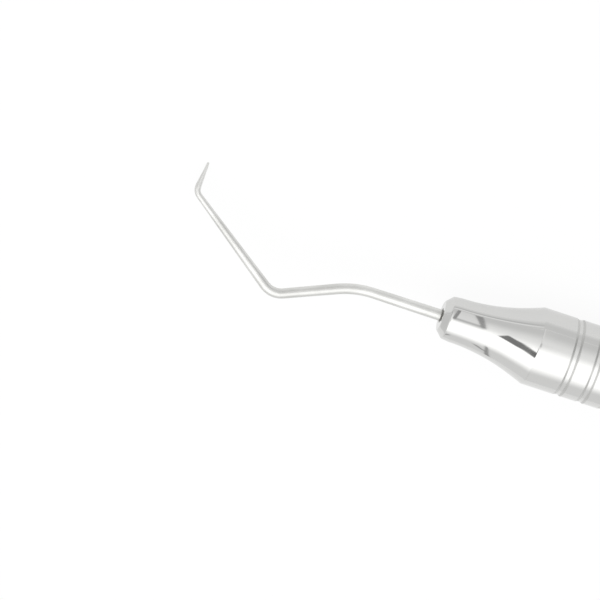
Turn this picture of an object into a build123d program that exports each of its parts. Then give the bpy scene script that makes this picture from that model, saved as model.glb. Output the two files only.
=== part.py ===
from build123d import *
import math
import os

# Single-ended dental explorer with a right-angle tip, in millimetres and at its real size.
# It lies on its side as it comes to rest: the long axis of the handle is level and runs along X,
# with the working end towards -X and the tail towards +X. +Z is up, and the surface that it rests
# on is Z = 0. The handle touches that surface along its lowest line, and the tip at its point.
# Every piece is first drawn on the handle's axis with X = 0 at the front face of the nose, and
# with the bent working end in the XY plane. It is then rolled and moved to where it rests.

# Handle: a turned stainless barrel, hollow from the rear, with a slim flared nose
handle_dia = 9.5
handle_length = 128.0
handle_wall = 0.7
rear_edge_chamfer = 0.2

# Nose: chamfered front face, short neck that eases in at its front, concave flare, and a cone
# up to the shoulder
nose_dia = 5.44
nose_chamfer = 0.8
neck_ease = 0.12
neck_length = 0.88
flare_radius = 24.4
flare_end_angle = 19.8

# Grip: shallow ring grooves with sloping walls, turned behind the shoulder
groove_count = 10
groove_pitch = 2.83
groove_width = 0.96
groove_floor_width = 0.44
groove_depth = 0.18
shoulder_to_groove = 4.45

# Bore: from the rear to a drill point that stops short of the socket for the shank
bore_to_shoulder = 3.0
drill_point_angle = 118.0

# Socket: a blind hole in the nose that the tang of the working end is bonded into
socket_depth = 9.0
socket_mouth_chamfer = 0.2
bond_gap = 0.02

# Working end: a tapered wire with three bends in one plane. A run ends at a bend's corner, a turn
# is positive towards the side that the tip points to, and a radius is that of the centre line.
shank_dia = 1.38
run_lengths = [10.72, 10.03, 15.09, 3.71]
bend_turns = [-22.7, 58.2, 59.9]
bend_radii = [11.4, 2.5, 1.2]
bend_dias = [1.27, 1.21, 0.72]
point_dia = 0.26

# Plug: closes the bore at the rear with a spigot under a rounded head
plug_head_length = 4.5
plug_head_rounding = 3.0
plug_head_chamfer = 0.2
spigot_length = 6.0
spigot_gap = 0.02
spigot_lead = 0.4

handle_r = handle_dia / 2
nose_r = nose_dia / 2
bore_r = handle_r - handle_wall
socket_r = shank_dia / 2 + bond_gap

flare_start = nose_chamfer + neck_length
flare_end = flare_start + flare_radius * math.sin(math.radians(flare_end_angle))
flare_end_r = nose_r + flare_radius * (1 - math.cos(math.radians(flare_end_angle)))
shoulder = flare_end + (handle_r - flare_end_r) / math.tan(math.radians(flare_end_angle))


def handle_outline():
    """Half section of the solid barrel, from the nose to the rear face, above the axis."""
    flare = RadiusArc((flare_start, nose_r), (flare_end, flare_end_r), -flare_radius)
    front = Polyline(
        (0, 0),
        (0, nose_r - neck_ease - nose_chamfer),
        (nose_chamfer, nose_r - neck_ease),
        (flare_start, nose_r),
    )
    back = Polyline(
        (flare_end, flare_end_r),
        (shoulder, handle_r),
        (handle_length - rear_edge_chamfer, handle_r),
        (handle_length, handle_r - rear_edge_chamfer),
        (handle_length, 0),
        (0, 0),
    )
    return make_face(front + flare + back)


def ring_grooves():
    """Half sections of the ring grooves, one at each pitch behind the shoulder."""
    first = shoulder + shoulder_to_groove
    grooves = Sketch()
    for number in range(groove_count):
        groove = Polygon(
            (-groove_width / 2, groove_depth),
            (-groove_width / 2, 0),
            (-groove_floor_width / 2, -groove_depth),
            (groove_floor_width / 2, -groove_depth),
            (groove_width / 2, 0),
            (groove_width / 2, groove_depth),
            align=None,
        )
        grooves += Pos(first + number * groove_pitch, handle_r) * groove
    return grooves


def bore_section():
    """Half section of the bore with the cone that a drill leaves at its end."""
    bore_start = shoulder + bore_to_shoulder
    drill_cone = bore_r / math.tan(math.radians(drill_point_angle / 2))
    return make_face(
        Polyline(
            (bore_start - drill_cone, 0),
            (bore_start, bore_r),
            (handle_length, bore_r),
            (handle_length, 0),
            (bore_start - drill_cone, 0),
        )
    )


def socket_section():
    """Half section of the shank's blind hole, with its small countersunk mouth."""
    return make_face(
        Polyline(
            (0, 0),
            (0, socket_r + socket_mouth_chamfer),
            (socket_mouth_chamfer, socket_r),
            (socket_depth, socket_r),
            (socket_depth, 0),
            (0, 0),
        )
    )


def make_handle():
    section = handle_outline() - ring_grooves() - bore_section() - socket_section()
    return revolve(section, Axis.X)


def shank_corners():
    """Corners of the wire's centre line, from the nose to the tip."""
    heading = 0.0
    corner = Vector(0, 0)
    corners = [corner]
    for length, turn in zip(run_lengths, [0.0] + bend_turns):
        heading += turn
        corner += length * Vector(-math.cos(math.radians(heading)), math.sin(math.radians(heading)))
        corners.append(corner)
    return corners


def make_working_end():
    """Tapered straight runs joined by round bends, on a tang that fills the socket."""
    centre_line = FilletPolyline(shank_corners(), radius=bend_radii)
    pieces = centre_line.order_edges()
    from_base = (Align.CENTER, Align.CENTER, Align.MIN)
    wire = Rot(0, 90, 0) * Cylinder(shank_dia / 2, socket_depth, align=from_base)
    dias = [shank_dia] + bend_dias + [point_dia]
    for number, piece in enumerate(pieces):
        start = Plane(origin=piece @ 0, z_dir=piece % 0)
        run = number // 2
        if number % 2:
            wire += sweep(start * Circle(dias[run + 1] / 2), path=piece)
            continue
        length = piece.length
        if piece is pieces[-1]:
            length -= point_dia / 2
            point = Sphere(point_dia / 2, arc_size1=0, align=from_base)
            wire += start * Pos(0, 0, length) * point
        wire += start * Cone(dias[run] / 2, dias[run + 1] / 2, length, align=from_base)
    return wire


def make_end_plug():
    """Spigot in the bore, under a head as wide as the handle with a rounded end."""
    spigot_r = bore_r - spigot_gap
    spigot_start = handle_length - spigot_length
    tail = handle_length + plug_head_length
    head = Polyline(
        (spigot_start, 0),
        (spigot_start, spigot_r - spigot_lead),
        (spigot_start + spigot_lead, spigot_r),
        (handle_length, spigot_r),
        (handle_length, handle_r - plug_head_chamfer),
        (handle_length + plug_head_chamfer, handle_r),
        (tail - plug_head_rounding, handle_r),
    )
    crown = RadiusArc(
        (tail - plug_head_rounding, handle_r),
        (tail, handle_r - plug_head_rounding),
        plug_head_rounding,
    )
    end = Polyline((tail, handle_r - plug_head_rounding), (tail, 0), (spigot_start, 0))
    return revolve(make_face(head + crown + end), Axis.X)


# The handle rolls until the round point of the tip meets the surface that the handle lies on.
point_r = point_dia / 2
tip_corner, tip_end = shank_corners()[-2:]
point_reach = tip_end.Y - point_r * (tip_end - tip_corner).normalized().Y
dip = math.degrees(math.asin(min(1.0, (handle_r - point_r) / point_reach)))

drawn = {
    "handle": make_handle(),
    "working_end": make_working_end(),
    "end_plug": make_end_plug(),
}
rolled = {name: Rot(-dip, 0, 0) * piece for name, piece in drawn.items()}
extent = Compound(children=[Part() + piece for piece in rolled.values()]).bounding_box()
to_rest = Pos(-extent.center().X, -extent.center().Y, -extent.min.Z)

os.makedirs("parts", exist_ok=True)
nodes = {name: to_rest * piece for name, piece in rolled.items()}
for name, piece in nodes.items():
    export_step(piece, f"parts/{name}.step")

print(f"shoulder {shoulder:.3f} mm behind the front face, dip {dip:.2f} degrees")
print(f"axis at Y {to_rest.position.Y:.3f}, Z {to_rest.position.Z:.3f}")
print(f"front face at X {to_rest.position.X:.3f}, overall length {extent.size.X:.2f} mm")
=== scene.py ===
# %% [markdown]
# # A dental explorer in polished steel
#
# The object is a hand instrument: a hollow turned barrel with ring grooves for grip, a slim nose,
# and a fine bent wire that ends in a sharp point. It lies on its side on a pale table.
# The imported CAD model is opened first. It fixes where each piece stands and how large it is. The
# pieces made here have finer surfaces, an eased shoulder and shallower ring grooves than its solids.

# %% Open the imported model
import math

import bpy
from mathutils import Matrix, Vector


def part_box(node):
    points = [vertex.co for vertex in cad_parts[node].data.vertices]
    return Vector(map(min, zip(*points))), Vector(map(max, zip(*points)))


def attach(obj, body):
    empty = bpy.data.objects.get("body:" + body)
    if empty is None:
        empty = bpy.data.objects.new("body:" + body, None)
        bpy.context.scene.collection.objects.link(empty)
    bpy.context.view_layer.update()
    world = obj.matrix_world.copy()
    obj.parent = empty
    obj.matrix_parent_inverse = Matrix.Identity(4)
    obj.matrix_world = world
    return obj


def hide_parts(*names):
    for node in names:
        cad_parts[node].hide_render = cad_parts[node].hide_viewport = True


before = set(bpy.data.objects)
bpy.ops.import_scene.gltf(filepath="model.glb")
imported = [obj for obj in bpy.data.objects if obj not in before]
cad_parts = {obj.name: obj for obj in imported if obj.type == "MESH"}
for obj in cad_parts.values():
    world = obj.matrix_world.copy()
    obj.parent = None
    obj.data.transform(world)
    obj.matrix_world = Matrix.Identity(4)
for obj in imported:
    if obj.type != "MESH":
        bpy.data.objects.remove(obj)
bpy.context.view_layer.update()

MM = 0.001
for name in sorted(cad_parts):
    low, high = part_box(name)
    print(name, "measures", [round(side / MM, 2) for side in high - low], "mm")

# %% [markdown]
# ## Helpers
#
# Every node tree in this file, for shapes, for finishes and for the room's light, is written
# with one small function. It adds a node, sets what the node's panel shows, and gives each input
# either a plain value or a link from an earlier node's output.

# %% Two small helpers for nodes and colours


def add(tree, kind, inputs=None, **settings):
    """Adds a node of this kind. An input is named by its label or number."""
    made = tree.nodes.new(kind)
    for name, value in settings.items():
        setattr(made, name, value)
    for key, value in (inputs or {}).items():
        if isinstance(value, bpy.types.NodeSocket):
            tree.links.new(value, made.inputs[key])
        else:
            made.inputs[key].default_value = value
    return made


def linear(hex_colour):
    """An sRGB colour such as #D1D1D0 as the linear RGBA that shaders work with."""
    channels = [int(hex_colour[start:start + 2], 16) / 255 for start in (1, 3, 5)]
    bent = [c / 12.92 if c <= 0.04045 else ((c + 0.055) / 1.055) ** 2.4 for c in channels]
    return (*bent, 1.0)


print("mid grey is", [round(c, 3) for c in linear("#808080")])

# %% [markdown]
# ## Sizes, and where the instrument lies
#
# These are the sizes of the CAD source, in millimetres, apart from the ring grooves. Its grooves are
# 0.96 mm wide and 0.18 mm deep, and these are as fine as the photograph shows them. A piece is drawn
# on the handle's axis, with x = 0 at the front face of the nose. One matrix then rolls it and moves
# it to where it rests, on its side with the point of the tip on the table. The handle's box in the
# frame says where.

# %% Sizes in millimetres
handle_r = 4.75
handle_length = 128.0
handle_wall = 0.7
rear_edge_chamfer = 0.2

nose_r = 2.72
nose_chamfer = 0.8
neck_ease = 0.12
neck_length = 0.88
flare_radius = 24.4
flare_end_angle = math.radians(19.8)

groove_count = 10
groove_pitch = 2.83
groove_width = 0.9
groove_floor_width = 0.5
groove_depth = 0.1
shoulder_to_groove = 4.45

bore_r = handle_r - handle_wall
bore_to_shoulder = 3.0
drill_point_angle = math.radians(118.0)
socket_depth = 9.0
socket_r = 0.71
socket_mouth_chamfer = 0.2

shank_dia = 1.38
run_lengths = [10.72, 10.03, 15.09, 3.71]
bend_turns = [-22.7, 58.2, 59.9]
bend_radii = [11.4, 2.5, 1.2]
bend_dias = [1.27, 1.21, 0.72]
point_dia = 0.26

plug_head_length = 4.5
plug_head_rounding = 3.0
plug_head_chamfer = 0.2
spigot_length = 6.0
spigot_gap = 0.02
spigot_lead = 0.4

flare_start = nose_chamfer + neck_length
flare_end = flare_start + flare_radius * math.sin(flare_end_angle)
flare_end_r = nose_r + flare_radius * (1 - math.cos(flare_end_angle))
shoulder = flare_end + (handle_r - flare_end_r) / math.tan(flare_end_angle)

# %% The corners of the wire, and the matrix that lays the instrument down


def wire_corners():
    """Corners of the wire's centre line on the drawing plane, from the nose to the tip."""
    heading, corner = 0.0, Vector((0.0, 0.0, 0.0))
    corners = [corner.copy()]
    for length, turn in zip(run_lengths, [0.0] + bend_turns):
        heading += math.radians(turn)
        corner += length * Vector((-math.cos(heading), math.sin(heading), 0.0))
        corners.append(corner.copy())
    return corners


tip_corner, tip_end = wire_corners()[-2:]
point_r = point_dia / 2
point_reach = tip_end.y - point_r * (tip_end - tip_corner).normalized().y
dip = math.asin((handle_r - point_r) / point_reach)

handle_low, handle_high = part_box("handle")
axis_middle = (handle_low + handle_high) / 2
front_centre = Vector((handle_low.x, axis_middle.y, axis_middle.z))
lay_down = Matrix.Translation(front_centre) @ Matrix.Rotation(-dip, 4, "X") @ Matrix.Scale(MM, 4)
print("roll", round(math.degrees(dip), 3), "degrees, shoulder at", round(shoulder, 3), "mm")

# %% [markdown]
# ## The camera
#
# The photograph was taken from a long way off with a long lens, so near and far parts are drawn at
# nearly one scale. The camera looks almost straight at the plane that the wire is bent in, leaning
# a few degrees towards the front, and it is rolled so that the handle runs down to the right.

# %% Set up the camera
camera_distance = 693.0
camera_lean = math.radians(7.6)
camera_roll = math.radians(18.106)
seen_width = 70.67
look_along, look_across = -16.552, -3.451

along = Vector((1.0, 0.0, 0.0))
tip_side = Vector((0.0, math.cos(dip), -math.sin(dip)))
over_bend = Vector((0.0, math.sin(dip), math.cos(dip)))
facing = over_bend * math.cos(camera_lean) - along * math.sin(camera_lean)
level = along * math.cos(camera_lean) + over_bend * math.sin(camera_lean)
image_right = tip_side * math.sin(camera_roll) + level * math.cos(camera_roll)
image_up = tip_side * math.cos(camera_roll) - level * math.sin(camera_roll)

target = front_centre + along * look_along * MM + tip_side * look_across * MM
camera_data = bpy.data.cameras.new("camera")
camera_data.sensor_width = 36.0
camera_data.lens = camera_data.sensor_width * camera_distance / seen_width
camera_data.clip_start, camera_data.clip_end = 0.05, 20.0
camera = bpy.data.objects.new("camera", camera_data)
bpy.context.scene.collection.objects.link(camera)
camera.matrix_world = Matrix.Translation(target + facing * camera_distance * MM) @ Matrix(
    (image_right, image_up, facing)
).transposed().to_4x4()
bpy.context.scene.camera = camera
print("lens", round(camera_data.lens, 1), "mm, camera at", [round(c, 4) for c in camera.location])

# %% [markdown]
# ## Rounded outlines for turned parts
#
# The barrel and the plug are turned on a lathe, so one half outline says everything about them.
# A real turned edge is never perfectly sharp: the polisher breaks it by a few hundredths of a
# millimetre, and that tiny round is what catches a line of light. So each corner of an outline may
# have a small radius. One more point is put just past each end of such a round, because smooth
# shading would otherwise pull the reflection out of shape along the whole flat face beside it.

# %% Round the corners of an outline


def rounded(outline, steps=6):
    """Points of an outline of (x, r, corner radius), each corner replaced by its small arc."""
    places = [Vector((x, r)) for x, r, _ in outline]
    points = [places[0]]
    for number in range(1, len(places) - 1):
        before, corner, after = places[number - 1:number + 2]
        radius = outline[number][2]
        back, on = before - corner, after - corner
        if not radius:
            points.append(corner)
            continue
        half = back.angle(on) / 2
        reach = radius / math.tan(half)
        centre = corner + (back.normalized() + on.normalized()).normalized() * radius / math.sin(half)
        start, end = corner + back.normalized() * reach, corner + on.normalized() * reach
        turn = (start - centre).angle_signed(end - centre)
        guard = 0.5 * radius
        if back.length > reach + 2 * guard:
            points.append(start + back.normalized() * guard)
        for step in range(steps + 1):
            spoke = (start - centre).copy()
            spoke.rotate(Matrix.Rotation(-turn * step / steps, 2))
            points.append(centre + spoke)
        if on.length > reach + 2 * guard:
            points.append(end + on.normalized() * guard)
    points.append(places[-1])
    return points


square = rounded([(0, 0, 0), (1, 0, 0.1), (1, 1, 0)])
print("a rounded corner has", len(square), "points, the last at", tuple(square[-1]))

# %% [markdown]
# ## A lathe made of nodes
#
# Turning is a rule: every point of the outline is carried once round the axis. Geometry Nodes say
# exactly that. A grid gets one row for each outline point and one column for each step of the turn,
# and each grid point is moved to its place on the circle. Where the outline touches the axis, the
# row shrinks to a pole, and merging closes it and the seam. The tree has its number of steps and
# its material as inputs, so the barrel, the plug, the solder and the straight wire all use it.

# %% Build the lathe tree
# Points nearer than this, in millimetres, become one: at the poles and along the seam
merge_distance = 0.0002


def group_with(name, sockets):
    """A geometry node group with these inputs, and its input and output nodes."""
    tree = bpy.data.node_groups.new(name, "GeometryNodeTree")
    for label, kind in sockets:
        tree.interface.new_socket(label, in_out="INPUT", socket_type=kind)
    tree.interface.new_socket("Geometry", in_out="OUTPUT", socket_type="NodeSocketGeometry")
    return tree, add(tree, "NodeGroupInput"), add(tree, "NodeGroupOutput")


lathe, given, result = group_with(
    "turned on a lathe",
    [("Geometry", "NodeSocketGeometry"), ("Steps", "NodeSocketInt"), ("Finish", "NodeSocketMaterial")],
)
size = add(lathe, "GeometryNodeAttributeDomainSize", {"Geometry": given.outputs["Geometry"]})
columns = add(lathe, "ShaderNodeMath", {0: given.outputs["Steps"], 1: 1.0}, operation="ADD")
grid = add(
    lathe, "GeometryNodeMeshGrid",
    {"Vertices X": size.outputs["Point Count"], "Vertices Y": columns.outputs[0]},
)
index = add(lathe, "GeometryNodeInputIndex")
row = add(lathe, "ShaderNodeMath", {0: index.outputs[0], 1: columns.outputs[0]}, operation="DIVIDE")
row = add(lathe, "ShaderNodeMath", {0: row.outputs[0]}, operation="FLOOR")
column = add(lathe, "ShaderNodeMath", {0: index.outputs[0], 1: columns.outputs[0]}, operation="MODULO")
share = add(
    lathe, "ShaderNodeMath", {0: column.outputs[0], 1: given.outputs["Steps"]}, operation="DIVIDE"
)
turn = add(lathe, "ShaderNodeMath", {0: share.outputs[0], 1: -math.tau}, operation="MULTIPLY")
outline_place = add(
    lathe, "GeometryNodeSampleIndex",
    {
        "Geometry": given.outputs["Geometry"],
        "Value": add(lathe, "GeometryNodeInputPosition").outputs[0],
        "Index": row.outputs[0],
    },
    data_type="FLOAT_VECTOR",
)
parts = add(lathe, "ShaderNodeSeparateXYZ", {0: outline_place.outputs["Value"]})
cosine = add(lathe, "ShaderNodeMath", {0: turn.outputs[0]}, operation="COSINE")
sine = add(lathe, "ShaderNodeMath", {0: turn.outputs[0]}, operation="SINE")
across = add(lathe, "ShaderNodeMath", {0: parts.outputs["Y"], 1: cosine.outputs[0]}, operation="MULTIPLY")
upward = add(lathe, "ShaderNodeMath", {0: parts.outputs["Y"], 1: sine.outputs[0]}, operation="MULTIPLY")
carried = add(
    lathe, "ShaderNodeCombineXYZ", {"X": parts.outputs["X"], "Y": across.outputs[0], "Z": upward.outputs[0]}
)
turned = add(
    lathe, "GeometryNodeSetPosition", {"Geometry": grid.outputs["Mesh"], "Position": carried.outputs[0]}
)
closed = add(
    lathe, "GeometryNodeMergeByDistance", {"Geometry": turned.outputs[0], "Distance": merge_distance}
)
smooth = add(lathe, "GeometryNodeSetShadeSmooth", {"Geometry": closed.outputs[0]})
plain = add(lathe, "GeometryNodeRealizeInstances", {"Geometry": smooth.outputs[0]})
finished = add(
    lathe, "GeometryNodeSetMaterial",
    {"Geometry": plain.outputs[0], "Material": given.outputs["Finish"]},
)
lathe.links.new(finished.outputs[0], result.inputs[0])
print("the lathe tree has", len(lathe.nodes), "nodes")

# %% Run a tree on a mesh and keep the result as a plain mesh


def made_by(tree, name, source, values):
    """The plain mesh that a geometry tree makes from a mesh, with its named inputs set."""
    shown = bpy.data.objects.new(name + "_source", source)
    bpy.context.scene.collection.objects.link(shown)
    modifier = shown.modifiers.new(tree.name, "NODES")
    modifier.node_group = tree
    named = {item.name: item.identifier for item in tree.interface.items_tree if item.in_out == "INPUT"}
    for label, value in values.items():
        modifier[named[label]] = value
    evaluated = shown.evaluated_get(bpy.context.evaluated_depsgraph_get())
    mesh = bpy.data.meshes.new_from_object(evaluated)
    mesh.name = name
    shown.modifiers.remove(modifier)
    bpy.data.objects.remove(shown)
    return mesh


def line_mesh(name, points):
    """A mesh of bare points joined in a row, in millimetres."""
    mesh = bpy.data.meshes.new(name)
    edges = [(number, number + 1) for number in range(len(points) - 1)]
    mesh.from_pydata([(*point, 0.0)[:3] for point in points], edges, [])
    return mesh


def lie_down(mesh):
    """Moves a mesh from the drawing to where the instrument lies, and makes its object."""
    mesh.transform(lay_down)
    piece = bpy.data.objects.new(mesh.name, mesh)
    bpy.context.scene.collection.objects.link(piece)
    low = [round(min(v.co[axis] for v in mesh.vertices) / MM, 3) for axis in range(3)]
    high = [round(max(v.co[axis] for v in mesh.vertices) / MM, 3) for axis in range(3)]
    print(mesh.name, len(mesh.polygons), "faces, from", low, "to", high, "mm")
    return piece


# %% [markdown]
# ## Finish: mirror-polished stainless steel
#
# The handle is austenitic stainless steel, turned and then buffed on a wheel. It has hardly any
# colour of its own. What the eye sees is the room, a little darker than it is, with edges that are
# nearly as sharp as in a mirror. Buffing leaves faint rings round the axis and a haze that changes
# slowly from place to place. The rings are really a few hundredths of a millimetre wide. They are
# drawn about 0.15 mm wide here, because finer ones would vanish between the pixels. The wheel
# doesn't reach the sloping walls of the ring grooves, so they stay rougher, and they are also painted
# a little darker, as painted shade in the grooves. A mask finds them by their place along the handle.

# %% Make the polished steel
unbuffed_roughness = 0.3
wall_core, wall_fade = 0.10, 0.22
ring_mark_height = 0.0002
polished = bpy.data.materials.new("stainless_steel_mirror_polished")
polished.use_nodes = True
tree = polished.node_tree
steel = tree.nodes["Principled BSDF"]
steel.inputs["Metallic"].default_value = 1.0
here = add(tree, "ShaderNodeTexCoord")
millimetres = add(
    tree, "ShaderNodeMapping", {"Vector": here.outputs["Object"], "Scale": (1 / MM, 1 / MM, 1 / MM)}
)
rings = add(
    tree, "ShaderNodeMapping", {"Vector": millimetres.outputs[0], "Scale": (6.5, 0.12, 0.12)}
)
ring_marks = add(
    tree, "ShaderNodeTexNoise", {"Vector": rings.outputs[0], "Scale": 1.0, "Detail": 3.0, "Roughness": 0.6}
)
haze = add(
    tree, "ShaderNodeTexNoise", {"Vector": millimetres.outputs[0], "Scale": 0.28, "Detail": 3.0}
)
haze_roughness = add(
    tree, "ShaderNodeMapRange",
    {"Value": haze.outputs[0], "From Min": 0.3, "From Max": 0.7, "To Min": 0.045, "To Max": 0.085},
)
tint = add(
    tree, "ShaderNodeMix", {0: haze.outputs[0], 6: linear("#CFCFCE"), 7: linear("#D4D4D2")},
    data_type="RGBA",
)
along_handle = add(tree, "ShaderNodeSeparateXYZ", {0: millimetres.outputs[0]})
first_groove = front_centre.x / MM + shoulder + shoulder_to_groove
past_first = add(
    tree, "ShaderNodeMath", {0: along_handle.outputs[0], 1: first_groove}, operation="SUBTRACT"
)
in_pitch = add(
    tree, "ShaderNodeMath", {0: past_first.outputs[0], 1: -groove_pitch / 2, 2: groove_pitch / 2},
    operation="WRAP",
)
off_groove = add(tree, "ShaderNodeMath", {0: in_pitch.outputs[0]}, operation="ABSOLUTE")
wall_middle = (groove_width + groove_floor_width) / 4
off_wall = add(tree, "ShaderNodeMath", {0: off_groove.outputs[0], 1: wall_middle}, operation="SUBTRACT")
off_wall = add(tree, "ShaderNodeMath", {0: off_wall.outputs[0]}, operation="ABSOLUTE")
on_wall = add(
    tree, "ShaderNodeMapRange",
    {"Value": off_wall.outputs[0], "From Min": wall_core, "From Max": wall_fade, "To Min": 1.0,
     "To Max": 0.0},
    interpolation_type="SMOOTHSTEP",
)
grip = add(
    tree, "ShaderNodeMath", {0: past_first.outputs[0], 1: (groove_count - 1) * groove_pitch / 2},
    operation="SUBTRACT",
)
grip = add(tree, "ShaderNodeMath", {0: grip.outputs[0]}, operation="ABSOLUTE")
in_grip = add(
    tree, "ShaderNodeMath", {0: grip.outputs[0], 1: groove_count * groove_pitch / 2}, operation="LESS_THAN"
)
unbuffed_and_painted_shade = add(tree, "ShaderNodeMath", {0: on_wall.outputs[0], 1: in_grip.outputs[0]}, operation="MULTIPLY")
roughness = add(
    tree, "ShaderNodeMix",
    {0: unbuffed_and_painted_shade.outputs[0], 2: haze_roughness.outputs[0], 3: unbuffed_roughness}, data_type="FLOAT",
)
tree.links.new(roughness.outputs[0], steel.inputs["Roughness"])
# The groove walls get a darker tint here: painted shade in the grooves. Their higher roughness is real.
tint = add(
    tree, "ShaderNodeMix", {0: unbuffed_and_painted_shade.outputs[0], 6: tint.outputs[2], 7: linear("#C2C2C0")},
    data_type="RGBA",
)
tree.links.new(tint.outputs[2], steel.inputs["Base Color"])
ring_bump = add(
    tree, "ShaderNodeBump",
    {"Height": ring_marks.outputs[0], "Strength": 1.0, "Distance": ring_mark_height * MM},
)
tree.links.new(ring_bump.outputs[0], steel.inputs["Normal"])

# %% [markdown]
# ## Finish: finely ground stainless steel
#
# The wire is ground to its taper and only lightly polished, so it is duller than the handle: it has
# soft light and dark sides and no sharp reflections. Fine grinding marks go round it, and its tone
# changes slowly along it. The marks were made before the wire was bent, so an attribute that keeps
# where each point was on the straight wire places them. They are drawn about 0.2 mm apart here,
# because the real ones are finer than a pixel.

# %% Make the ground steel of the wire
mark_height = 0.001
ground = bpy.data.materials.new("stainless_steel_fine_ground")
ground.use_nodes = True
tree = ground.node_tree
steel = tree.nodes["Principled BSDF"]
steel.inputs["Metallic"].default_value = 1.0
unbent = add(tree, "ShaderNodeAttribute", attribute_name="unbent")
marks = add(tree, "ShaderNodeMapping", {"Vector": unbent.outputs["Vector"], "Scale": (5.0, 0.8, 0.8)})
handled = add(tree, "ShaderNodeMapping", {"Vector": unbent.outputs["Vector"], "Scale": (0.35, 0.6, 0.6)})
handled_noise = add(tree, "ShaderNodeTexNoise", {"Vector": handled.outputs[0], "Scale": 1.0, "Detail": 2.0})
mark_noise = add(
    tree, "ShaderNodeTexNoise", {"Vector": marks.outputs[0], "Scale": 1.0, "Detail": 3.0, "Roughness": 0.6}
)
mark_roughness = add(
    tree, "ShaderNodeMapRange",
    {"Value": mark_noise.outputs[0], "From Min": 0.3, "From Max": 0.7, "To Min": 0.34, "To Max": 0.42},
)
tree.links.new(mark_roughness.outputs[0], steel.inputs["Roughness"])
tint = add(
    tree, "ShaderNodeMix",
    {0: handled_noise.outputs[0], 6: linear("#C6C6C3"), 7: linear("#EAEAE8")},
    data_type="RGBA",
)
tree.links.new(tint.outputs[2], steel.inputs["Base Color"])
mark_bump = add(
    tree, "ShaderNodeBump",
    {"Height": mark_noise.outputs[0], "Strength": 1.0, "Distance": mark_height * MM},
)
tree.links.new(mark_bump.outputs[0], steel.inputs["Normal"])

# %% [markdown]
# ## The handle
#
# One closed outline holds the whole barrel: the blind hole that the wire sits in, its countersunk
# mouth, the front face, the chamfer with a softly crowned neck behind it, the concave flare, the
# cone up to the shoulder, the grip with its ring grooves, the open rear and the bore.

# %% Draw the half outline of the handle
edge_break = 0.04
mouth_break = 0.03
front_round, shoulder_round = 0.3, 0.4
groove_lip_round, groove_foot_round = 0.06, 0.05
crown_reach = 1.1
crown_power = 1.35
crown_end = nose_chamfer + crown_reach
easing_start = 9.0
crown_steps, flare_steps = 16, 76
turn_steps = 256


def nose_profile(x):
    """Radius of the nose at x: a crowned neck, a concave arc, and a flatter arc to the shoulder."""
    drop = neck_ease * (max(0.0, crown_end - x) / crown_reach) ** crown_power
    across = max(0.0, min(x, easing_start) - flare_start)
    radius = nose_r - drop + flare_radius - math.sqrt(flare_radius ** 2 - across ** 2)
    if x > easing_start:
        slope = across / math.sqrt(flare_radius ** 2 - across ** 2)
        length = shoulder - easing_start
        bend = (handle_r - radius - slope * length) / length ** 2
        radius += slope * (x - easing_start) + bend * (x - easing_start) ** 2
    return radius


def nose_points():
    """Points of the nose's profile, closer together on the short crown than on the long flare.

    The two places after the first are left out: the round of the chamfer's corner lies there.
    """
    places = [
        nose_chamfer + crown_reach * number / crown_steps
        for number in range(crown_steps) if number not in (1, 2)
    ]
    places += [crown_end + (shoulder - crown_end) * number / flare_steps for number in range(flare_steps)]
    return [(x, nose_profile(x), 0) for x in places]


def grooves():
    """Corners of the ring grooves: a flat floor between two sloping walls, all corners softened."""
    corners = []
    for number in range(groove_count):
        middle = shoulder + shoulder_to_groove + number * groove_pitch
        corners += [
            (middle - groove_width / 2, handle_r, groove_lip_round),
            (middle - groove_floor_width / 2, handle_r - groove_depth, groove_foot_round),
            (middle + groove_floor_width / 2, handle_r - groove_depth, groove_foot_round),
            (middle + groove_width / 2, handle_r, groove_lip_round),
        ]
    return corners


neck = nose_points()
front_r = neck[0][1] - nose_chamfer
bore_start = shoulder + bore_to_shoulder
drill_cone = bore_r / math.tan(drill_point_angle / 2)
handle_outline = rounded(
    [
        (socket_depth, 0, 0),
        (socket_depth, socket_r, edge_break / 2),
        (socket_mouth_chamfer, socket_r, mouth_break),
        (0, socket_r + socket_mouth_chamfer, mouth_break),
        (0, front_r, front_round),
        (neck[0][0], neck[0][1], front_round),
    ]
    + neck[1:]
    + [(shoulder, handle_r, shoulder_round)]
    + grooves()
    + [
        (handle_length - rear_edge_chamfer, handle_r, edge_break),
        (handle_length, handle_r - rear_edge_chamfer, edge_break),
        (handle_length, bore_r, edge_break),
        (bore_start, bore_r, edge_break),
        (bore_start - drill_cone, 0, 0),
    ]
)
print(len(handle_outline), "points round the handle's outline")

# %% Turn the handle
mesh = made_by(
    lathe, "handle_turned", line_mesh("handle_outline", handle_outline),
    {"Steps": turn_steps, "Finish": polished},
)
handle = lie_down(mesh)
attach(handle, "root")
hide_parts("handle")

# %% [markdown]
# ## The joint
#
# The tang of the working end is fixed in the nose with silver solder. A narrow ring of it fills the
# countersunk mouth round the wire, a little hollow where it wetted both sides. Its dull dark grey
# is painted shade for the crevice there, and it draws a darker line where the wire enters the nose.

# %% Make the solder, dark grey with painted shade, and turn its ring
solder_gap, solder_root, solder_climb = 0.004, 0.19, 0.12
pit_depth = 0.01
solder_steps = 96
solder_painted_shade = bpy.data.materials.new("silver_solder_tarnished")
solder_painted_shade.use_nodes = True
tree = solder_painted_shade.node_tree
metal = tree.nodes["Principled BSDF"]
metal.inputs["Metallic"].default_value = 1.0
here = add(tree, "ShaderNodeTexCoord")
grains = add(
    tree, "ShaderNodeTexNoise", {"Vector": here.outputs["Object"], "Scale": 6.0 / MM, "Detail": 3.0}
)
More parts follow.
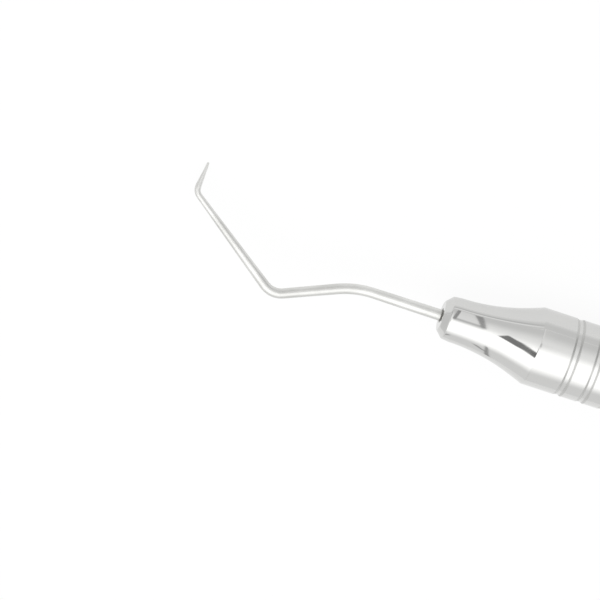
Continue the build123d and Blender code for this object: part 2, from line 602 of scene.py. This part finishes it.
# This dark grey is painted shade for the crevice where the wire enters the nose.
painted_shade_grey = add(
    tree, "ShaderNodeMix", {0: grains.outputs[0], 6: linear("#6E6D6A"), 7: linear("#8A8985")},
    data_type="RGBA",
)
tree.links.new(painted_shade_grey.outputs[2], metal.inputs["Base Color"])
dull = add(
    tree, "ShaderNodeMapRange", {"Value": grains.outputs[0], "To Min": 0.22, "To Max": 0.4}
)
tree.links.new(dull.outputs[0], metal.inputs["Roughness"])
pits = add(
    tree, "ShaderNodeBump", {"Height": grains.outputs[0], "Strength": 1.0, "Distance": pit_depth * MM}
)
tree.links.new(pits.outputs[0], metal.inputs["Normal"])

wire_side, mouth_r = shank_dia / 2 + solder_gap, socket_r + socket_mouth_chamfer
# From the foot of the countersink up the wire, and down the hollow face back to the mouth
ring_outline = [
    (solder_root, wire_side), (-solder_climb, wire_side), (-0.08, wire_side + 0.03),
    (-0.02, wire_side + 0.08), (0.01, wire_side + 0.14), (0.01, mouth_r - 0.02),
    (solder_root, wire_side),
]
mesh = made_by(
    lathe, "solder_ring", line_mesh("ring_outline", ring_outline), {"Steps": solder_steps, "Finish": solder_painted_shade}
)
solder_ring = lie_down(mesh)
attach(solder_ring, "root")

# %% [markdown]
# ## The end plug
#
# A solid plug closes the bore at the rear. Its spigot is a push fit, and the head is as wide as the
# handle with a rounded end. The two broken edges where head and barrel meet leave a fine V line.

# %% Turn the end plug
rounding_steps = 24
end_face_ring_r = 1.0
spigot_r = bore_r - spigot_gap
spigot_start = handle_length - spigot_length
tail = handle_length + plug_head_length
crown = []
for number in range(rounding_steps + 1):
    swing = math.radians(90 * number / rounding_steps)
    crown.append(
        (tail - plug_head_rounding * (1 - math.sin(swing)),
         handle_r - plug_head_rounding * (1 - math.cos(swing)), 0)
    )
plug_outline = rounded(
    [
        (spigot_start, 0, 0),
        (spigot_start, spigot_r - spigot_lead, edge_break),
        (spigot_start + spigot_lead, spigot_r, edge_break),
        (handle_length, spigot_r, edge_break / 2),
        (handle_length, handle_r - plug_head_chamfer, edge_break),
        (handle_length + plug_head_chamfer, handle_r, edge_break),
    ]
    + crown
    + [(tail, end_face_ring_r, 0), (tail, 0, 0)]
)
mesh = made_by(
    lathe, "end_plug_turned", line_mesh("plug_outline", plug_outline),
    {"Steps": turn_steps, "Finish": polished},
)
end_plug = lie_down(mesh)
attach(end_plug, "root")
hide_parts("end_plug")

# %% [markdown]
# ## The working end
#
# The real wire is ground to its taper while it is straight, and only then bent in a jig. It is made
# in the same order here. The lathe tree turns a straight tapered wire. A second tree has the route
# of the centre line, whose corners the Fillet Curve node rounds to the bend radii, and carries each
# point of the straight wire to the place on that route that lies as far along.

# %% Work out the taper along the unbent wire


def wire_stations():
    """Where each straight run and each bend starts along the wire, with the diameter there."""
    tangents = [0.0] + [
        radius * math.tan(math.radians(abs(turn)) / 2) for radius, turn in zip(bend_radii, bend_turns)
    ] + [0.0]
    place, stations = 0.0, [(0.0, shank_dia)]
    for number, length in enumerate(run_lengths):
        place += length - tangents[number] - tangents[number + 1]
        if number < len(bend_dias):
            stations.append((place, bend_dias[number]))
            place += bend_radii[number] * math.radians(abs(bend_turns[number]))
            stations.append((place, bend_dias[number]))
    return stations, place


stations, wire_length = wire_stations()


def wire_r(place):
    """Radius of the wire at a place along it."""
    marks = stations + [(wire_length - point_r, point_dia)]
    for (start, start_dia), (end, end_dia) in zip(marks, marks[1:]):
        if place <= end:
            return (start_dia + (end_dia - start_dia) * max(0.0, place - start) / (end - start)) / 2
    return point_r


ring_gap = 0.16
point_steps = 6
wire_steps = 64
cone_end = wire_length - point_r
rings = round((cone_end + socket_depth) / ring_gap)
wire_outline = [(-socket_depth, 0.0), (-socket_depth, shank_dia / 2)]
for number in range(1, rings + 1):
    place = -socket_depth + (cone_end + socket_depth) * number / rings
    wire_outline.append((place, wire_r(place)))
for number in range(1, point_steps + 1):
    swing = math.radians(90 * number / point_steps)
    wire_outline.append((cone_end + point_r * math.sin(swing), point_r * math.cos(swing)))
print("the wire is", round(wire_length, 2), "mm long outside the nose")

# %% Build the bending tree
bend_steps = 40
bender, given, result = group_with(
    "bent along a route",
    [("Geometry", "NodeSocketGeometry"), ("Route", "NodeSocketObject"), ("Tang", "NodeSocketFloat"),
     ("Finish", "NodeSocketMaterial")],
)
position = add(bender, "GeometryNodeInputPosition").outputs[0]
kept_place = add(
    bender, "GeometryNodeStoreNamedAttribute",
    {"Geometry": given.outputs["Geometry"], "Name": "unbent", "Value": position},
    data_type="FLOAT_VECTOR",
)
route = add(bender, "GeometryNodeObjectInfo", {"Object": given.outputs["Route"]})
route_curve = add(bender, "GeometryNodeMeshToCurve", {"Mesh": route.outputs["Geometry"]})
bend_radius = add(bender, "GeometryNodeInputNamedAttribute", {"Name": "bend_radius"}, data_type="FLOAT")
filleted = add(
    bender, "GeometryNodeFilletCurve",
    {"Curve": route_curve.outputs[0], "Count": bend_steps, "Radius": bend_radius.outputs[0]}, mode="POLY",
)
parts = add(bender, "ShaderNodeSeparateXYZ", {0: position})
distance = add(
    bender, "ShaderNodeMath", {0: parts.outputs["X"], 1: given.outputs["Tang"]}, operation="ADD"
)
on_route = add(
    bender, "GeometryNodeSampleCurve",
    {"Curves": filleted.outputs[0], "Length": distance.outputs[0]}, mode="LENGTH", use_all_curves=True,
)
side = add(
    bender, "ShaderNodeVectorMath", {0: (0.0, 0.0, 1.0), 1: on_route.outputs["Tangent"]},
    operation="CROSS_PRODUCT",
)
sideways = add(
    bender, "ShaderNodeVectorMath", {0: side.outputs[0], "Scale": parts.outputs["Y"]}, operation="SCALE"
)
upwards = add(bender, "ShaderNodeCombineXYZ", {"Z": parts.outputs["Z"]})
off_route = add(
    bender, "ShaderNodeVectorMath", {0: sideways.outputs[0], 1: upwards.outputs[0]}, operation="ADD"
)
place = add(
    bender, "ShaderNodeVectorMath", {0: on_route.outputs["Position"], 1: off_route.outputs[0]},
    operation="ADD",
)
bent = add(
    bender, "GeometryNodeSetPosition", {"Geometry": kept_place.outputs[0], "Position": place.outputs[0]}
)
plain = add(bender, "GeometryNodeRealizeInstances", {"Geometry": bent.outputs[0]})
finished = add(
    bender, "GeometryNodeSetMaterial",
    {"Geometry": plain.outputs[0], "Material": given.outputs["Finish"]},
)
bender.links.new(finished.outputs[0], result.inputs[0])
print("the bending tree has", len(bender.nodes), "nodes")

# %% Turn the wire straight, then bend it
route_points = [Vector((socket_depth, 0.0, 0.0))] + wire_corners()
route_mesh = line_mesh("wire_route", route_points)
radii = route_mesh.attributes.new("bend_radius", "FLOAT", "POINT")
for number, radius in enumerate([0.0, 0.0] + bend_radii + [0.0]):
    radii.data[number].value = radius
route_object = bpy.data.objects.new("wire_route", route_mesh)
bpy.context.scene.collection.objects.link(route_object)
straight = made_by(
    lathe, "straight_wire", line_mesh("wire_outline", wire_outline),
    {"Steps": wire_steps, "Finish": ground},
)
mesh = made_by(
    bender, "working_end_bent", straight,
    {"Route": route_object, "Tang": socket_depth, "Finish": ground},
)
bpy.data.objects.remove(route_object)
working_end = lie_down(mesh)
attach(working_end, "root")
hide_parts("working_end")

# %% [markdown]
# ## The studio
#
# A mirror shows its surroundings, so for polished steel the room is half of the finish. Such
# instruments are photographed in a light tent: white walls, one long soft lamp overhead in line
# with the handle, and a white table. The tent is written as a world that depends on direction only.
# Two angles name a direction: how far it leans from straight up towards +Y, and how far it points
# ahead, out over the tip. A tent isn't perfect. Its frame has a bar across the top with a short arm
# beside it, and a slanting strut ahead, and polished steel shows them as crisp dark marks on the
# nose. Everything in the tent is made in the same way: a patch of its own level is laid over the
# light so far, inside soft edges. A level of 1.0 is plain white. For the camera the world is plain
# white throughout.

# %% Name every direction by two angles
world = bpy.data.worlds.new("light_tent")
bpy.context.scene.world = world
world.use_nodes = True
tree = world.node_tree
tree.nodes.clear()
direction = add(tree, "ShaderNodeTexCoord").outputs["Generated"]
parts = add(tree, "ShaderNodeSeparateXYZ", {0: direction})
lean = add(
    tree, "ShaderNodeMath", {0: parts.outputs["Y"], 1: parts.outputs["Z"]}, operation="ARCTAN2"
)
lean = add(tree, "ShaderNodeMath", {0: lean.outputs[0]}, operation="DEGREES").outputs[0]
ahead = add(tree, "ShaderNodeMath", {0: parts.outputs["X"]}, operation="ARCSINE")
ahead = add(tree, "ShaderNodeMath", {0: ahead.outputs[0], 1: -math.degrees(1)}, operation="MULTIPLY")
ahead = ahead.outputs[0]


def tilted(lean_share, ahead_share, shift):
    """How far a direction lies from a slanting line across the tent, in degrees."""
    part = add(tree, "ShaderNodeMath", {0: lean, 1: lean_share}, operation="MULTIPLY")
    part = add(tree, "ShaderNodeMath", {0: part.outputs[0], 1: shift}, operation="SUBTRACT")
    return add(
        tree, "ShaderNodeMath", {0: ahead, 1: ahead_share, 2: part.outputs[0]}, operation="MULTIPLY_ADD"
    ).outputs[0]


def patched(tree, base, inside, edges=(), bands=()):
    """A base value with another one laid over it, inside a patch with soft edges.

    An edge is a measure, with where the patch begins on it and where the patch is whole. A band is a
    measure and its middle, with how far from the middle the patch is whole and how far off it ends.
    """
    fades = list(edges)
    for measure, middle, whole, ends in bands:
        off = add(tree, "ShaderNodeMath", {0: measure, 1: middle}, operation="SUBTRACT")
        off = add(tree, "ShaderNodeMath", {0: off.outputs[0]}, operation="ABSOLUTE")
        fades.append((off.outputs[0], ends, whole))
    share = 1.0
    for measure, begins, whole in fades:
        fade = add(
            tree, "ShaderNodeMapRange", {"Value": measure, "From Min": begins, "From Max": whole},
            interpolation_type="SMOOTHSTEP",
        )
        share = add(tree, "ShaderNodeMath", {0: share, 1: fade.outputs[0]}, operation="MULTIPLY").outputs[0]
    return add(tree, "ShaderNodeMix", {0: share, 2: base, 3: inside}, data_type="FLOAT").outputs[0]


print("the world so far has", len(tree.nodes), "nodes")

# %% Light the tent: the lamp, the walls and the two darker ends
lamp_level, end_lamp_level = 1.75, 1.4
lamp_widens_from, lamp_widening = 12.0, 0.7
tip_end_slant = -0.13
widened = add(tree, "ShaderNodeMath", {0: ahead, 1: lamp_widens_from}, operation="SUBTRACT")
widened = add(tree, "ShaderNodeMath", {0: widened.outputs[0], 1: 0.0}, operation="MAXIMUM")
widened = add(tree, "ShaderNodeMath", {0: widened.outputs[0], 1: lamp_widening}, operation="MULTIPLY")
low_side = add(tree, "ShaderNodeMath", {0: lean, 1: 0.0}, operation="LESS_THAN")
lamp_lean = add(
    tree, "ShaderNodeMath", {0: low_side.outputs[0], 1: widened.outputs[0], 2: lean},
    operation="MULTIPLY_ADD",
).outputs[0]
near_wall = patched(tree, 1.13, 0.80, edges=[(lean, 44.0, 80.0)])
far_wall = patched(tree, 0.91, 1.15, edges=[(lean, -58.0, -8.0)])
walls = add(tree, "ShaderNodeMath", {0: near_wall, 1: far_wall}, operation="MINIMUM").outputs[0]
middle_light = patched(tree, walls, lamp_level, bands=[(lamp_lean, -2.5, 15.0, 52.0)])
end_wall = patched(tree, 0.85, 0.54, edges=[(lean, 44.0, 66.0)])
end_light = patched(tree, end_wall, end_lamp_level, bands=[(lean, -1.0, 6.0, 40.0)])
end_light = patched(tree, end_light, 0.82, edges=[(ahead, 36.0, 50.0), (lean, -20.0, -50.0)])
end_light = patched(tree, end_light, 0.80, edges=[(ahead, 52.0, 68.0)])
low_lean = add(tree, "ShaderNodeMath", {0: lean, 1: 0.0}, operation="MINIMUM")
to_tip_end = add(
    tree, "ShaderNodeMath", {0: low_lean.outputs[0], 1: tip_end_slant, 2: ahead}, operation="MULTIPLY_ADD"
).outputs[0]
tent = patched(tree, middle_light, end_light, edges=[(to_tip_end, 31.0, 38.0)])
tent = patched(tree, tent, end_light, edges=[(ahead, -17.0, -25.0)])

# %% Hang the bar, its arm and the strut of the frame in it
bar_level, arm_level = 0.40, 0.42
bar_arch = 7.0
strut_turns_from, strut_turn = 27.0, 0.9
arch = add(tree, "ShaderNodeMath", {0: lean}, operation="RADIANS")
arch = add(tree, "ShaderNodeMath", {0: arch.outputs[0]}, operation="COSINE")
bar_shift = patched(tree, 1.5, 0.0, edges=[(lean, -50.0, -20.0)])
off_bar = add(tree, "ShaderNodeMath", {0: ahead, 1: bar_shift}, operation="SUBTRACT")
off_bar = add(
    tree, "ShaderNodeMath", {0: arch.outputs[0], 1: -bar_arch, 2: off_bar.outputs[0]},
    operation="MULTIPLY_ADD",
).outputs[0]
panel = patched(tree, 1.04, 0.95, edges=[(lean, 50.0, 90.0)])
panel = patched(tree, panel, 0.7, bands=[(lean, 41.0, 2.0, 8.0)])
tent = patched(
    tree, tent, panel, edges=[(off_bar, 0.7, -0.7), (ahead, -9.9, -9.3), (lean, 26.0, 35.0)]
)
bar_half = patched(tree, 0.8, 2.1, edges=[(lean, -20.0, 90.0)])
across_bar = add(tree, "ShaderNodeMath", {0: off_bar, 1: bar_half}, operation="DIVIDE").outputs[0]
tent = patched(tree, tent, bar_level, bands=[(across_bar, 0.0, 0.7, 1.3), (lean, -2.0, 44.0, 33.0)])
off_arm = tilted(0.19, 1.0, -10.0)
tent = patched(tree, tent, arm_level, bands=[(off_arm, 0.0, 0.6, 1.6), (lean, -62.0, 5.0, 10.0)])
beyond = add(tree, "ShaderNodeMath", {0: ahead, 1: strut_turns_from}, operation="SUBTRACT")
beyond = add(tree, "ShaderNodeMath", {0: beyond.outputs[0], 1: 0.0}, operation="MAXIMUM")
off_strut = add(
    tree, "ShaderNodeMath", {0: beyond.outputs[0], 1: strut_turn, 2: tilted(0.568, 0.823, 32.6)},
    operation="MULTIPLY_ADD",
).outputs[0]
strut_foot = tilted(-0.37, 1.0, 4.6)
strut_level = patched(tree, 0.27, 0.18, edges=[(ahead, 29.0, 32.0)])
tent = patched(
    tree, tent, strut_level, edges=[(strut_foot, -1.2, 1.2), (ahead, 38.0, 34.0)],
    bands=[(off_strut, 0.0, 4.8, 7.8)],
)

# %% Show plain white to the camera and the tent to everything else
ray = add(tree, "ShaderNodeLightPath")
seen = add(tree, "ShaderNodeMix", {0: ray.outputs["Is Camera Ray"], 2: tent, 3: 1.0}, data_type="FLOAT")
sky = add(tree, "ShaderNodeBackground", {"Color": linear("#FFFFFF"), "Strength": seen.outputs[0]})
add(tree, "ShaderNodeOutputWorld", {"Surface": sky.outputs[0]})
print("the light tent has", len(tree.nodes), "nodes")

# %% [markdown]
# ## The table
#
# The instrument lies on a sheet of white paper. A real sheet under studio light is blown out to
# nearly plain white, so most of what the camera sees of it is a plain glow, and the rest is matt
# paper that keeps the soft shadow. Reflections in the steel show it a little darker.

# %% Lay the table
glow_seen, glow_mirrored = 0.92, 0.8
table_paint = bpy.data.materials.new("white_table_paper")
table_paint.use_nodes = True
tree = table_paint.node_tree
tree.nodes.clear()
paper = add(tree, "ShaderNodeBsdfDiffuse", {"Color": linear("#F4F4F4")})
glow = add(tree, "ShaderNodeEmission", {"Color": linear("#FFFFFF"), "Strength": 1.0})
ray = add(tree, "ShaderNodeLightPath")
mirrored = add(
    tree, "ShaderNodeMath", {0: ray.outputs["Is Glossy Ray"], 1: ray.outputs["Is Transmission Ray"]},
    operation="MAXIMUM",
)
share = add(tree, "ShaderNodeMath", {0: mirrored.outputs[0], 1: glow_mirrored}, operation="MULTIPLY")
share = add(
    tree, "ShaderNodeMath", {0: ray.outputs["Is Camera Ray"], 1: glow_seen, 2: share.outputs[0]},
    operation="MULTIPLY_ADD",
)
mixed = add(
    tree, "ShaderNodeMixShader", {0: share.outputs[0], 1: paper.outputs[0], 2: glow.outputs[0]}
)
add(tree, "ShaderNodeOutputMaterial", {"Surface": mixed.outputs[0]})

table_mesh = bpy.data.meshes.new("table")
reach = 6.0
table_mesh.from_pydata(
    [(-reach, -reach, 0), (reach, -reach, 0), (reach, reach, 0), (-reach, reach, 0)], [], [(0, 1, 2, 3)]
)
table_mesh.materials.append(table_paint)
table = bpy.data.objects.new("table", table_mesh)
bpy.context.scene.collection.objects.link(table)

# %% [markdown]
# ## The card beside the handle
#
# A photographer can stand a low card beside polished steel, so that its lower side mirrors an even
# grey and not the bright table. This one is seen in reflections only: the camera doesn't see it, and
# it gives the table neither light nor shadow. It gets darker with height, and much darker from the
# middle of the grip on. Beside the front of the nose it has a light stripe over a dark one, and the
# nose shows them as two fine lines.

# %% Stand a low grey card beside the handle
card_y, card_top, card_back, card_front = 14.5, 6.8, 150.0, -150.0
card_paint = bpy.data.materials.new("grey_card")
card_paint.use_nodes = True
tree = card_paint.node_tree
tree.nodes.clear()
place = add(tree, "ShaderNodeTexCoord").outputs["Object"]
parts = add(tree, "ShaderNodeSeparateXYZ", {0: place})
height = add(tree, "ShaderNodeMath", {0: parts.outputs["Z"], 1: 1 / MM}, operation="MULTIPLY").outputs[0]
past = add(tree, "ShaderNodeMath", {0: parts.outputs["X"], 1: 1 / MM}, operation="MULTIPLY").outputs[0]
card_light = patched(tree, 1.0, 0.81, edges=[(height, -0.8, 3.6)])
card_light = patched(tree, card_light, 0.5, edges=[(past, -24.0, -17.0)])
for stripe_height, stripe_level in [(5.1, 1.05), (3.7, 0.66)]:
    card_light = patched(
        tree, card_light, stripe_level, edges=[(past, -42.0, -46.0)],
        bands=[(height, stripe_height, 0.3, 0.8)],
    )
card_glow = add(tree, "ShaderNodeEmission", {"Color": linear("#FFFFFF"), "Strength": card_light})
add(tree, "ShaderNodeOutputMaterial", {"Surface": card_glow.outputs[0]})

card_mesh = bpy.data.meshes.new("card")
card_mesh.from_pydata(
    [(card_front * MM, card_y * MM, 0), (card_back * MM, card_y * MM, 0),
     (card_back * MM, card_y * MM, card_top * MM), (card_front * MM, card_y * MM, card_top * MM)],
    [], [(0, 1, 2, 3)],
)
card_mesh.materials.append(card_paint)
card = bpy.data.objects.new("card", card_mesh)
bpy.context.scene.collection.objects.link(card)
card.visible_camera = card.visible_diffuse = card.visible_transmission = card.visible_shadow = False

bpy.context.scene.view_settings.view_transform = "Standard"
